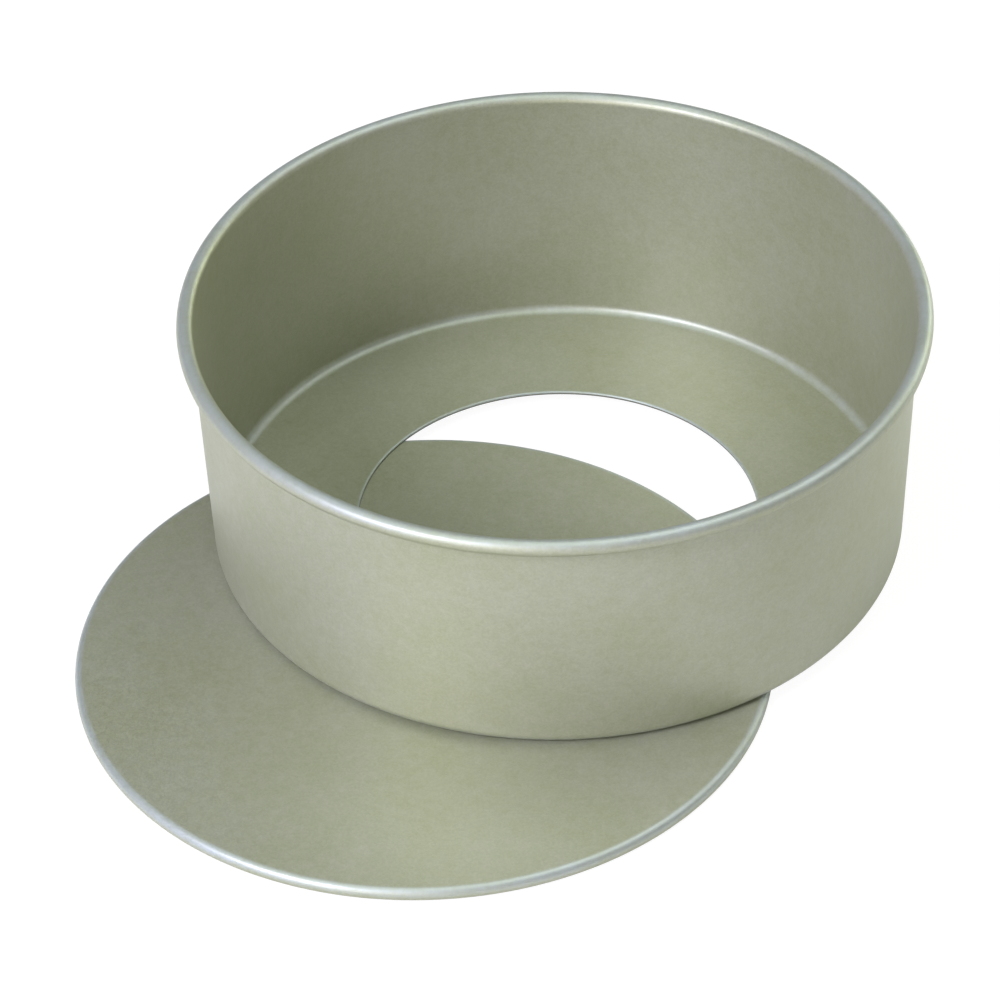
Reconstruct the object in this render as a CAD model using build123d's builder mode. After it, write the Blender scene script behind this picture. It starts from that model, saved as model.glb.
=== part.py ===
from build123d import *
import os
from math import asin, atan2, ceil, cos, degrees, hypot, sin

# Round loose-bottom cake pan: a deep pressed body with a rolled rim and a wide
# hole in its floor, and the loose base that covers the hole from inside.
# The base lies on the table, and the body stands on it, set back to the right.
# Millimetres, +Z up, origin under the middle of the whole set.

# Body, pressed from one sheet
body_sheet = 0.8
body_height = 67.9
mouth_radius = 90.0  # inside, where the rim is narrowest
floor_radius = 87.15  # inside, just above the floor's corner
corner_radius = 2.4  # inside, where the wall turns into the floor
hole_radius = 51.3
rim_bead_radius = 2.1
rim_roll_turn = 257.0  # degrees that the sheet's edge is rolled round

# Loose base, cut from thicker sheet
base_sheet = 1.0
base_bead_radius = 1.8
base_roll_turn = 205.0
base_clearance = 0.2  # radial, between the base and the foot of the wall

# A bend is made of bands that follow each other round, each a face of its own.
# Each is a little tighter than the last, as a curl is towards the sheet's edge.
widest_band = 51.5  # degrees
band_tightening = 0.001

# How far the base lies to the left of the body's axis, and in front of it
base_set_left = 34.0
base_set_front = 52.8

# Sizes that follow from these
base_radius = floor_radius - base_clearance
base_height = 2 * base_bead_radius
rim_radius = mouth_radius + 2 * rim_bead_radius

# The wall's inner face touches the corner's arc on one side and the bead's arc
# on the other, so it is the cross tangent of those two circles.
corner_centre = (floor_radius - corner_radius, body_sheet + corner_radius)
bead_centre = (mouth_radius + rim_bead_radius, body_height - rim_bead_radius)
across = bead_centre[0] - corner_centre[0]
up = bead_centre[1] - corner_centre[1]
wall_lean = atan2(across, up) - asin((corner_radius + rim_bead_radius) / hypot(across, up))

# The set's box is centred on the origin, whichever piece reaches further out
body_x = -(rim_radius - max(base_set_left + base_radius, rim_radius)) / 2
body_y = -(rim_radius - max(base_set_front + base_radius, rim_radius)) / 2
base_x = body_x - base_set_left
base_y = body_y - base_set_front

# Each section is drawn in a plane through its piece's axis, radius across and
# height up, with the body's floor on the top of the base
body_plane = Plane(origin=(body_x, body_y, base_height), x_dir=(1, 0, 0), z_dir=(0, -1, 0))
base_plane = Plane(origin=(base_x, base_y, 0), x_dir=(1, 0, 0), z_dir=(0, -1, 0))
body_axis = Axis((body_x, body_y, 0), (0, 0, 1))
base_axis = Axis((base_x, base_y, 0), (0, 0, 1))

# Turns the outline round from a point and a direction, and returns where it
# ends. Flats are enough for the inside of a roll, which nothing shows.
def bend(start, direction, radius, turn, in_flats=False):
    bands = ceil(abs(turn) / widest_band)
    for band in range(bands):
        band_radius = radius - band * band_tightening
        arc_mode = Mode.PRIVATE if in_flats else Mode.ADD
        arc = JernArc(start, direction, band_radius, turn / bands, mode=arc_mode)
        if in_flats:
            Line(start, arc @ 1)
        start, direction = arc @ 1, arc % 1
    return start


# Pan body: the sheet runs from the hole's cut edge along the floor, up the
# leaning wall, and rolls outwards round the rim and under it.
# Both faces of the sheet turn about the same centres, so a face is drawn by how
# far it lies below the face that the cake touches.
def body_face(depth):
    bead_radius = rim_bead_radius - depth
    wall_top = (
        bead_centre[0] - bead_radius * cos(wall_lean),
        bead_centre[1] + bead_radius * sin(wall_lean),
    )
    floor_line = Line((hole_radius, body_sheet - depth), (corner_centre[0], body_sheet - depth))
    corner_end = bend(floor_line @ 1, floor_line % 1, corner_radius + depth, 90 - degrees(wall_lean))
    wall_line = Line(corner_end, wall_top)
    roll_end = bend(wall_top, wall_line % 1, bead_radius, -rim_roll_turn, in_flats=depth > 0)
    return floor_line @ 0, roll_end


with BuildPart() as pan_body:
    with BuildSketch(body_plane):
        with BuildLine():
            upper_cut, upper_roll_end = body_face(0)
            lower_cut, lower_roll_end = body_face(body_sheet)
            Line(upper_cut, lower_cut)
            Line(upper_roll_end, lower_roll_end)
        make_face()
    revolve(axis=body_axis)


# Loose base: a flat disc whose edge is rolled down and under, which stiffens
# it and is what it stands on
def base_face(depth):
    plate_line = Line((0, base_height - depth), (base_radius - base_bead_radius, base_height - depth))
    bead_radius = base_bead_radius - depth
    roll_end = bend(plate_line @ 1, plate_line % 1, bead_radius, -base_roll_turn, in_flats=depth > 0)
    return plate_line @ 0, roll_end


with BuildPart() as loose_base:
    with BuildSketch(base_plane):
        with BuildLine():
            upper_centre, upper_roll_end = base_face(0)
            lower_centre, lower_roll_end = base_face(base_sheet)
            Line(upper_centre, lower_centre)
            Line(upper_roll_end, lower_roll_end)
        make_face()
    revolve(axis=base_axis)

pan_body.part.label = "pan_body"
loose_base.part.label = "loose_base"

os.makedirs("parts", exist_ok=True)
export_step(pan_body.part, "parts/pan_body.step")
export_step(loose_base.part, "parts/loose_base.step")

for piece in (pan_body.part, loose_base.part):
    box = piece.bounding_box()
    print(piece.label, "valid", piece.is_valid, "volume", round(piece.volume, 1), "mm3")
    print("  from", box.min, "to", box.max)
print("wall leans", round(degrees(wall_lean), 2), "degrees")
print("body axis", round(body_x, 3), round(body_y, 3), "base axis", round(base_x, 3), round(base_y, 3))
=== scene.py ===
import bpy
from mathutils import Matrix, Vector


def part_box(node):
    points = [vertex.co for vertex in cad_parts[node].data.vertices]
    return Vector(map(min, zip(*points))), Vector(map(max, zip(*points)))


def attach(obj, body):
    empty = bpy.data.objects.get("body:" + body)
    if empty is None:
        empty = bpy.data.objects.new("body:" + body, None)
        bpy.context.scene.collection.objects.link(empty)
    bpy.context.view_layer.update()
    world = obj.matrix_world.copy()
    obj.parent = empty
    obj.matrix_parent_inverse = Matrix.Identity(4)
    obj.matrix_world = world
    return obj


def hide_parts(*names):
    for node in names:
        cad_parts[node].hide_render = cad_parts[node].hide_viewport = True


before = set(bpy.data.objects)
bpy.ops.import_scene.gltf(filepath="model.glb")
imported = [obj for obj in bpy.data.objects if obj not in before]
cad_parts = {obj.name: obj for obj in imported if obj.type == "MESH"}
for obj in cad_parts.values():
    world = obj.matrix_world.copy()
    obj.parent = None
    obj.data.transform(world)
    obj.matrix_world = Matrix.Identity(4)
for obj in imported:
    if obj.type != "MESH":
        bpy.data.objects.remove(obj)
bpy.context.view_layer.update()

import math
import bmesh
import bpy
from mathutils import Matrix, Vector

# A deep round cake pan that stands on its own loose base.
# Metres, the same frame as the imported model. Both pieces are spun from the section of their sheet.


class Socket:
    # One output of a node. Maths on it is written as plain Python and adds the Math nodes.
    def __init__(self, tree, link):
        self.tree = tree
        self.link = link

    def maths(self, operation, *values):
        node = self.tree.nodes.new("ShaderNodeMath")
        node.operation = operation
        for slot, value in zip(node.inputs, values):
            if isinstance(value, Socket):
                self.tree.links.new(value.link, slot)
            else:
                slot.default_value = value
        return Socket(self.tree, node.outputs[0])

    def output(self, name):  # another output of the same node
        return Socket(self.tree, [s for s in self.link.node.outputs if s.enabled and s.name == name][0])

    def __add__(self, other):
        return self.maths("ADD", self, other)

    def __radd__(self, other):
        return self.maths("ADD", other, self)

    def __sub__(self, other):
        return self.maths("SUBTRACT", self, other)

    def __rsub__(self, other):
        return self.maths("SUBTRACT", other, self)

    def __mul__(self, other):
        return self.maths("MULTIPLY", self, other)

    def __rmul__(self, other):
        return self.maths("MULTIPLY", other, self)

    def __truediv__(self, other):
        return self.maths("DIVIDE", self, other)

    def __rtruediv__(self, other):
        return self.maths("DIVIDE", other, self)

    def __pow__(self, other):
        return self.maths("POWER", self, other)

    def __neg__(self):
        return self.maths("MULTIPLY", self, -1.0)

    def sin(self):
        return self.maths("SINE", self)

    def cos(self):
        return self.maths("COSINE", self)

    def asin(self):
        return self.maths("ARCSINE", self)

    def atan2(self, other):
        return self.maths("ARCTAN2", self, other)

    def atLeast(self, other):
        return self.maths("MAXIMUM", self, other)

    def atMost(self, other):
        return self.maths("MINIMUM", self, other)

    def over(self, other):
        return self.maths("GREATER_THAN", self, other)


class Graph:
    # Adds every other node: its type, its settings, then the values or links of its sockets
    def __init__(self, tree):
        self.tree = tree

    def add(self, kind, settings=None, **sockets):
        node = self.tree.nodes.new(kind)
        for name, value in (settings or {}).items():
            setattr(node, name, value)
        for name, values in sockets.items():
            slots = [s for s in node.inputs if s.enabled and s.name.replace(" ", "").lower() == name.lower()]
            for turn, value in enumerate(values if isinstance(values, list) else [values]):
                slot = slots[min(turn, len(slots) - 1)]
                if isinstance(value, Socket):
                    self.tree.links.new(value.link, slot)
                else:
                    slot.default_value = value
        return Socket(self.tree, node.outputs[0]) if node.outputs else node

    def blend(self, factor, fromColour, toColour):
        mix = self.add("ShaderNodeMix", {"data_type": "RGBA"}, factor=factor, A=fromColour, B=toColour)
        return mix.output("Result")


def blankMaterial(name):
    material = bpy.data.materials.new(name)
    material.use_nodes = True
    material.node_tree.nodes.clear()
    return material, Graph(material.node_tree)


# Spun sheet metal

spin = {
    "columns": 256,  # round the axis, so that a vertex lies at each end of both diameters
    "rollRows": 26,
    "hiddenRollRows": 13,
    "cornerRows": 10,
    "edgeRows": 3,
    "lipRows": 6,
    "flatRows": 3,  # the outer two are narrow, which keeps a flat flat beside a bend
    "margin": 0.0004,
    "weldWithin": 0.000004,
    "collapseWithin": 0.000001,
    "sharpOver": math.radians(40),
}


class SpunSheet(Graph):
    # A Geometry Nodes tree that spins strips of a section about an upright axis and welds them into a shell
    def __init__(self, name, sizes, material):
        super().__init__(bpy.data.node_groups.new(name, "GeometryNodeTree"))
        self.material = material
        self.strips = []
        sides = self.tree.interface
        for label, size in sizes.items():
            sides.new_socket(label, in_out="INPUT", socket_type="NodeSocketFloat").default_value = size
        sides.new_socket("Geometry", in_out="OUTPUT", socket_type="NodeSocketGeometry")
        source = self.add("NodeGroupInput")
        self.size = {label: source.output(label) for label in sizes}

    def strip(self, rows, shape, wear=0.0, bare=0.0):
        grid = self.add("GeometryNodeMeshGrid", verticesX=rows + 1, verticesY=spin["columns"] + 1)
        place = self.add("ShaderNodeSeparateXYZ", vector=grid.output("UV Map"))
        radius, height = shape(place)
        turn = place.output("Y") * math.tau
        spot = self.add(
            "ShaderNodeCombineXYZ",
            x=self.size["Axis X"] + radius * turn.cos(),
            y=self.size["Axis Y"] + radius * turn.sin(),
            z=self.size["Bottom"] + height,
        )
        placed = self.add("GeometryNodeSetPosition", geometry=grid, position=spot)
        # the wear attribute carries rubbed edges together with a painted highlight; the bare attribute marks
        # cut faces that are painted dark as shade
        rubbedAndHighlit = wear(place) if callable(wear) else wear
        wornAndHighlit = self.add("GeometryNodeStoreNamedAttribute", geometry=placed, name="wear", value=rubbedAndHighlit)
        marked = self.add("GeometryNodeStoreNamedAttribute", geometry=wornAndHighlit, name="bare", value=bare)
        self.strips.append(marked)

    def line(self, start, end):
        across, up = end[0] - start[0], end[1] - start[1]
        rows, narrow = spin["flatRows"], spin["margin"] / (across * across + up * up) ** 0.5

        def shape(along):
            step = along * rows
            middle = (step - 1).atLeast(0).atMost(rows - 2) / (rows - 2)
            share = (step.atMost(1) + (step - (rows - 1)).atLeast(0)) * narrow + middle * (1 - 2 * narrow)
            return start[0] + across * share, start[1] + up * share

        self.strip(rows, shape)

    def cutLine(self, start, end):  # where the sheet was cut
        # its faces are coloured nearly black, a painted shade
        across, up = end[0] - start[0], end[1] - start[1]
        self.strip(1, lambda along: (start[0] + across * along, start[1] + up * along), bare=1.0)

    def arc(self, centre, radius, fromAngle, turn, rows, wear=0.0, bare=0.0):
        def shape(along):
            angle = fromAngle + turn * along
            return centre[0] + radius * angle.cos(), centre[1] + radius * angle.sin()

        self.strip(rows, shape, wear, bare)

    def rollEnd(self, beadAt, bead, sheet, rollTo):
        self.cutLine((beadAt[0] + bead * rollTo.cos(), beadAt[1] + bead * rollTo.sin()),
                     (beadAt[0] + (bead - sheet) * rollTo.cos(), beadAt[1] + (bead - sheet) * rollTo.sin()))

    def crest(self, fromAngle, turn, crestAt, halfWidth, share=1.0):
        # Wear and painted highlight that fade to both sides of a line
        return lambda along: (1 - ((fromAngle + turn * along - crestAt) / halfWidth) ** 2).atLeast(0) * share

    def finish(self):
        joined = self.add("GeometryNodeJoinGeometry", geometry=self.strips[::-1])
        welded = self.add("GeometryNodeMergeByDistance", geometry=joined, distance=spin["weldWithin"])
        smooth = self.add("GeometryNodeSetShadeSmooth", {"domain": "FACE"}, geometry=welded,
                          shadeSmooth=True)
        bend = self.add("GeometryNodeInputMeshEdgeAngle").over(spin["sharpOver"])
        sharp = self.add("GeometryNodeSetShadeSmooth", {"domain": "EDGE"}, geometry=smooth,
                         selection=bend, shadeSmooth=False)
        real = self.add("GeometryNodeRealizeInstances", geometry=sharp)
        dressed = self.add("GeometryNodeSetMaterial", geometry=real, material=self.material)
        self.add("NodeGroupOutput", geometry=dressed)


def spun(name, tree, sizes):
    # Runs the tree once and keeps its result as a plain mesh
    piece = bpy.data.objects.new(name, bpy.data.meshes.new(name))
    bpy.context.scene.collection.objects.link(piece)
    modifier = piece.modifiers.new("Spin", "NODES")
    modifier.node_group = tree
    for item in tree.interface.items_tree:
        if item.item_type == "SOCKET" and item.in_out == "INPUT":
            modifier[item.identifier] = sizes[item.name]
    whole = bpy.data.meshes.new_from_object(piece.evaluated_get(bpy.context.evaluated_depsgraph_get()))
    piece.modifiers.remove(modifier)
    shell = bmesh.new()
    shell.from_mesh(whole)
    bmesh.ops.dissolve_degenerate(shell, dist=spin["collapseWithin"], edges=shell.edges)
    bmesh.ops.recalc_face_normals(shell, faces=shell.faces)
    openEdges = sum(1 for edge in shell.edges if not edge.is_manifold)
    shell.to_mesh(whole)
    shell.free()
    whole.name = name
    piece.data = whole
    print(name, "has", len(whole.polygons), "faces and", openEdges, "open edges")
    return piece


# Pan body: one sheet from the hole's cut edge along the floor, up the leaning wall and round the rim's roll

def nodeSize(node):  # the middle, the radius, the bottom and the height of a round node
    low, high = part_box(node)
    return (low.x + high.x) / 2, (low.y + high.y) / 2, (high.x - low.x) / 2, low.z, high.z - low.z


panX, panY, rimRadius, panBottom, panHeight = nodeSize("pan_body")
panBody = {
    "Axis X": panX,
    "Axis Y": panY,
    "Bottom": panBottom,
    "Height": panHeight,
    "Rim Radius": rimRadius,
    "Sheet": 0.0008,
    "Floor Radius": 0.08715,
    "Corner Radius": 0.0024,
    "Hole Radius": 0.0513,
    "Lip Round": 0.00042,  # the hole's upper edge is broken by the press
    "Edge Round": 0.00008,
    "Bead Radius": 0.0021,
    "Roll Turn": math.radians(257),
}
# Rubbed wear that also paints the highlights: on the rim's bead and along the inner corner of the floor
panRubAndHighlight = {
    "rimAt": math.radians(78),  # the rim is rubbed, with a painted highlight, most along its top
    "rimWidth": math.radians(72),  # to both sides of that line
    "cornerAt": math.radians(-52),
    "cornerWidth": math.radians(40),
    "cornerShare": 0.55,
}


def makePanBody(material):
    tree = SpunSheet("PanBodySection", panBody, material)
    size = tree.size
    sheet, bead, corner = size["Sheet"], size["Bead Radius"], size["Corner Radius"]
    hole, lip, edge = size["Hole Radius"], size["Lip Round"], size["Edge Round"]
    cornerAt = (size["Floor Radius"] - corner, sheet + corner)
    beadAt = (size["Rim Radius"] - bead, size["Height"] - bead)
    across, up = beadAt[0] - cornerAt[0], beadAt[1] - cornerAt[1]
    reach = (across * across + up * up) ** 0.5
    # The wall is the cross tangent of the corner's arc and the bead's arc
    lean = across.atan2(up) - ((corner + bead) / reach).asin()
    rollFrom = math.pi - lean
    rollTo = rollFrom - size["Roll Turn"]
    rimWearAndHighlight = tree.crest(rollFrom, -size["Roll Turn"], panRubAndHighlight["rimAt"], panRubAndHighlight["rimWidth"])
    cornerFrom, cornerTurn = -math.pi / 2, math.pi / 2 - lean
    cornerWearAndHighlight = tree.crest(cornerFrom, cornerTurn, panRubAndHighlight["cornerAt"], panRubAndHighlight["cornerWidth"],
                            panRubAndHighlight["cornerShare"])
    upperFace, lowerFace = (sheet * 0, spin["rollRows"], lip), (sheet, spin["hiddenRollRows"], edge)
    for depth, rollRows, holeRound in (upperFace, lowerFace):
        cornerOuter, beadInner = corner + depth, bead - depth
        floorAt = sheet - depth
        tree.line((hole + holeRound, floorAt), (cornerAt[0], floorAt))
        tree.arc(cornerAt, cornerOuter, cornerFrom, cornerTurn, spin["cornerRows"], wear=cornerWearAndHighlight)
        tree.line((cornerAt[0] + cornerOuter * lean.cos(), cornerAt[1] - cornerOuter * lean.sin()),
                  (beadAt[0] - beadInner * lean.cos(), beadAt[1] + beadInner * lean.sin()))
        tree.arc(beadAt, beadInner, rollFrom, -size["Roll Turn"], rollRows, wear=rimWearAndHighlight)
    tree.rollEnd(beadAt, bead, sheet, rollTo)
    # the hole's cut face and lower round are coloured nearly black, a painted shade
    tree.cutLine((hole, edge), (hole, sheet - lip))
    tree.arc((hole + edge, edge), edge, math.pi, math.pi / 2, spin["edgeRows"], bare=1.0)
    # the hole's lip is coloured as rubbed steel: wear and a painted highlight along its upper edge
    tree.arc((hole + lip, sheet - lip), lip, math.pi / 2, math.pi / 2, spin["lipRows"], wear=1.0)
    tree.finish()
    piece = spun("PanBodyShell", tree.tree, panBody)
    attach(piece, "body")
    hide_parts("pan_body")


# Loose base: a flat disc whose edge is rolled down and under

baseX, baseY, baseRadius, baseBottom, baseHeight = nodeSize("loose_base")
looseBase = {
    "Axis X": baseX,
    "Axis Y": baseY,
    "Bottom": baseBottom,
    "Height": baseHeight,
    "Radius": baseRadius,
    "Sheet": 0.001,
    "Bead Radius": 0.0018,
    "Roll Turn": math.radians(205),
}
# Rubbed wear that also paints the highlight along the base's rolled edge
baseRubAndHighlight = {
    "edgeAt": math.radians(50),
    "edgeWidth": math.radians(60),
}


def makeLooseBase(material):
    tree = SpunSheet("LooseBaseSection", looseBase, material)
    size = tree.size
    sheet, bead = size["Sheet"], size["Bead Radius"]
    beadAt = (size["Radius"] - bead, size["Height"] - bead)
    rollTo = math.pi / 2 - size["Roll Turn"]
    edgeWearAndHighlight = tree.crest(math.pi / 2, -size["Roll Turn"], baseRubAndHighlight["edgeAt"], baseRubAndHighlight["edgeWidth"])
    for depth, rollRows in ((sheet * 0, spin["rollRows"]), (sheet, spin["hiddenRollRows"])):
        plateAt = size["Height"] - depth
        tree.line((sheet * 0, plateAt), (beadAt[0], plateAt))
        tree.arc(beadAt, bead - depth, math.pi / 2, -size["Roll Turn"], rollRows, wear=edgeWearAndHighlight)
    tree.rollEnd(beadAt, bead, sheet, rollTo)
    tree.finish()
    piece = spun("LooseBaseShell", tree.tree, looseBase)
    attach(piece, "base")
    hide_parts("loose_base")


# The coating: satin, pale olive with metal flake and mottled; its edges are rubbed to bluish steel, which
# also paints their highlight, and its cut faces are nearly black, a painted shade

coat = {
    "olive": (0.435, 0.455, 0.320, 1.0),
    "grey": (0.453, 0.466, 0.376, 1.0),
    # bluish steel of the rubbed edges, which also stands in for their painted highlight
    "steel": (0.56, 0.635, 0.70, 1.0),
    # nearly black on the cut faces: painted shade
    "cut": (0.06, 0.06, 0.055, 1.0),
    "tintMiddle": 0.5,  # how far the colour is from olive to grey, on average
    "tintSwing": 0.8,
    "metallic": 0.5,
    "roughness": 0.46,
    "roughnessSwing": 0.05,
    "noiseRoughness": 0.6,
    "cloudSize": 0.03,
    "cloudDetail": 2.0,
    "cloudSwing": 0.05,
    "blotchSize": 0.0028,
    "blotchDetail": 3.0,
    "blotchSwing": 0.06,
    "flakeSize": 0.00045,
    "flakeSwing": 0.06,
    "flakeHeightShare": 0.3,
    "peelSize": 0.0011,
    "peelDetail": 2.0,
    "peelHeight": 0.000008,
    "wornShare": 0.5,
    "wornSwing": 0.2,
}


def coatedSheet():
    material, graph = blankMaterial("CoatedSheet")
    spot = graph.add("ShaderNodeTexCoord").output("Object")

    def noise(name):  # from -1 to 1
        return graph.add("ShaderNodeTexNoise", vector=spot, scale=1 / coat[name + "Size"],
                         detail=coat[name + "Detail"], roughness=coat["noiseRoughness"]) * 2 - 1

    cloud, blotch, peel = noise("cloud"), noise("blotch"), noise("peel")
    cell = graph.add("ShaderNodeTexVoronoi", vector=spot, scale=1 / coat["flakeSize"])
    flake = graph.add("ShaderNodeSeparateColor", color=cell.output("Color")) * 2 - 1
    mottle = (blotch + cloud) * coat["tintSwing"] + coat["tintMiddle"]
    tint = graph.blend(mottle, coat["olive"], coat["grey"])
    level = 1 + cloud * coat["cloudSwing"] + blotch * coat["blotchSwing"] + flake * coat["flakeSwing"]
    grained = graph.add("ShaderNodeVectorMath", {"operation": "SCALE"}, vector=tint, scale=level)
    # rubbed edges turn to bluish steel: wear and painted highlight together
    wear = graph.add("ShaderNodeAttribute", {"attribute_name": "wear"}).output("Fac")
    wornAndHighlit = (wear * coat["wornShare"] + (blotch + cloud) * wear * coat["wornSwing"]).atLeast(0).atMost(1)
    rubbedAndHighlit = graph.blend(wornAndHighlit, grained, coat["steel"])
    # cut faces turn nearly black: painted shade
    bare = graph.add("ShaderNodeAttribute", {"attribute_name": "bare"}).output("Fac")
    colour = graph.blend(bare, rubbedAndHighlit, coat["cut"])
    roughness = coat["roughness"] + (peel + flake) * coat["roughnessSwing"]
    grain = peel + flake * coat["flakeHeightShare"]
    bump = graph.add("ShaderNodeBump", height=grain, distance=coat["peelHeight"])
    shader = graph.add("ShaderNodeBsdfPrincipled", baseColor=colour, metallic=coat["metallic"],
                       roughness=roughness, normal=bump)
    graph.add("ShaderNodeOutputMaterial", surface=shader)
    return material


# Studio: a wide white floor, a dim even surround and soft lamps

studio = {
    "floorSize": 12.0,
    "paper": (0.8, 0.8, 0.8, 1.0),
    "paperForCamera": (0.12, 0.12, 0.12, 1.0),  # its shadow stays faint, because most of the white is glow
    "glowForCamera": 0.94,
    "glowInMetal": 0.15,  # added to what the metal mirrors of the lit floor
    "glowSlant": 0.38,  # to the right of the pan the metal mirrors more light from behind than from in front
    "slantFrom": -0.5,  # where it turns from less to more, in radii of the pan behind its axis
    "ambient": 0.10,
}


def makeFloor():
    side = studio["floorSize"] / 2
    corners = [(-side, -side, 0), (side, -side, 0), (side, side, 0), (-side, side, 0)]
    mesh = bpy.data.meshes.new("Floor")
    mesh.from_pydata(corners, [], [(0, 1, 2, 3)])
    floor = bpy.data.objects.new("Floor", mesh)
    bpy.context.scene.collection.objects.link(floor)
    material, graph = blankMaterial("FloorPaper")
    path = graph.add("ShaderNodeLightPath")
    camera = path.output("Is Camera Ray")
    mirrored = path.output("Is Glossy Ray").atLeast(path.output("Is Transmission Ray"))
    colour = graph.blend(camera, studio["paper"], studio["paperForCamera"])
    paper = graph.add("ShaderNodeBsdfDiffuse", color=colour)
    place = graph.add("ShaderNodeSeparateXYZ", vector=graph.add("ShaderNodeTexCoord").output("Object"))
    toRight = ((place - panX) / rimRadius).atLeast(0).atMost(1)  # none to the left of the pan's axis
    toBack = ((place.output("Y") - panY) / rimRadius - studio["slantFrom"]).atLeast(-1).atMost(1)
    inMetal = (toRight * toBack * studio["glowSlant"] + studio["glowInMetal"]).atLeast(0)
    glow = graph.add("ShaderNodeEmission", strength=camera * studio["glowForCamera"] + mirrored * inMetal)
    both = graph.add("ShaderNodeAddShader", shader=[paper, glow])
    graph.add("ShaderNodeOutputMaterial", surface=both)
    mesh.materials.append(material)


def makeWorld():
    world = bpy.data.worlds.new("Studio")
    bpy.context.scene.world = world
    world.use_nodes = True
    world.node_tree.nodes.clear()
    graph = Graph(world.node_tree)
    sky = graph.add("ShaderNodeBackground", strength=studio["ambient"])
    graph.add("ShaderNodeOutputWorld", surface=sky)


lamps = {  # degrees to the right of the camera and up, metres, watts
    "KeyHigh": {"azimuth": -45, "elevation": 40, "distance": 2.0, "size": (0.7, 0.6), "power": 27.4,
                "colour": (0.91, 0.88, 1.0)},
    "KeyLow": {"azimuth": -45, "elevation": 15, "distance": 2.0, "size": (1.2, 0.8), "power": 9.0,
               "colour": (0.50, 0.55, 1.0)},
    "FrontLow": {"azimuth": -20, "elevation": 15, "distance": 2.0, "size": (1.2, 0.8), "power": 9.2,
                 "colour": (1.0, 0.93, 0.66)},
    "FrontHigh": {"azimuth": -5, "elevation": 40, "distance": 2.0, "size": (1.2, 1.0), "power": 1.6,
                  "colour": (0.90, 0.95, 1.0)},
    "Top": {"azimuth": 0, "elevation": 88, "distance": 1.6, "size": (1.4, 1.4), "power": 9.3,
            "colour": (0.90, 1.0, 0.84)},
    "Back": {"azimuth": 110, "elevation": 55, "distance": 2.0, "size": (1.2, 1.2), "power": 7.0,
             "colour": (0.92, 0.93, 0.96)},
    "BackLow": {"azimuth": 132, "elevation": 15, "distance": 2.0, "size": (1.2, 0.8), "power": 10.0,
                "colour": (0.97, 1.0, 0.74)},
}


def makeLamps(target):
    for name, lamp in lamps.items():
        light = bpy.data.lights.new(name, "AREA")
        light.shape = "RECTANGLE"
        light.size, light.size_y = lamp["size"]
        light.energy = lamp["power"]
        light.color = lamp["colour"]
        holder = bpy.data.objects.new(name, light)
        azimuth, elevation = math.radians(lamp["azimuth"]), math.radians(lamp["elevation"])
        level = math.cos(elevation)
        away = Vector((math.sin(azimuth) * level, -math.cos(azimuth) * level, math.sin(elevation)))
        holder.location = target + away * lamp["distance"]
        holder.rotation_euler = away.to_track_quat("Z", "Y").to_euler()
        bpy.context.scene.collection.objects.link(holder)


# Camera, fitted to the outlines of both pieces

view = {
    "back": 1.1413,  # in front of the pan's axis
    "height": 0.9343,
    "turn": -0.01295,  # radians, to the left of straight ahead
    "tilt": 0.68083,  # downwards
    "roll": 0.02573,
    "lens": 207.0,
    "sensor": 36.0,
    "clipStart": 0.05,
    "clipEnd": 50.0,
}


def makeCamera():
    camera = bpy.data.objects.new("Camera", bpy.data.cameras.new("Camera"))
    bpy.context.scene.collection.objects.link(camera)
    camera.data.lens = view["lens"]
    camera.data.sensor_width = view["sensor"]
    camera.data.clip_start = view["clipStart"]
    camera.data.clip_end = view["clipEnd"]
    turn, tilt, roll = view["turn"], view["tilt"], view["roll"]
    ahead = Vector((math.sin(turn) * math.cos(tilt), math.cos(turn) * math.cos(tilt), -math.sin(tilt)))
    level = Vector((math.cos(turn), -math.sin(turn), 0.0))
    down = ahead.cross(level)
    right = math.cos(roll) * level + math.sin(roll) * down
    down = math.cos(roll) * down - math.sin(roll) * level
    pose = Matrix((right, -down, -ahead)).transposed().to_4x4()
    pose.translation = Vector((panX, panY - view["back"], view["height"]))
    camera.matrix_world = pose
    bpy.context.scene.camera = camera


print("Making the pieces")
coating = coatedSheet()
makePanBody(coating)
makeLooseBase(coating)
print("Setting the studio")
makeCamera()
makeFloor()
makeWorld()
makeLamps(Vector((panX, panY, panHeight / 2)))
bpy.context.scene.view_settings.view_transform = "Standard"
bpy.context.view_layer.update()
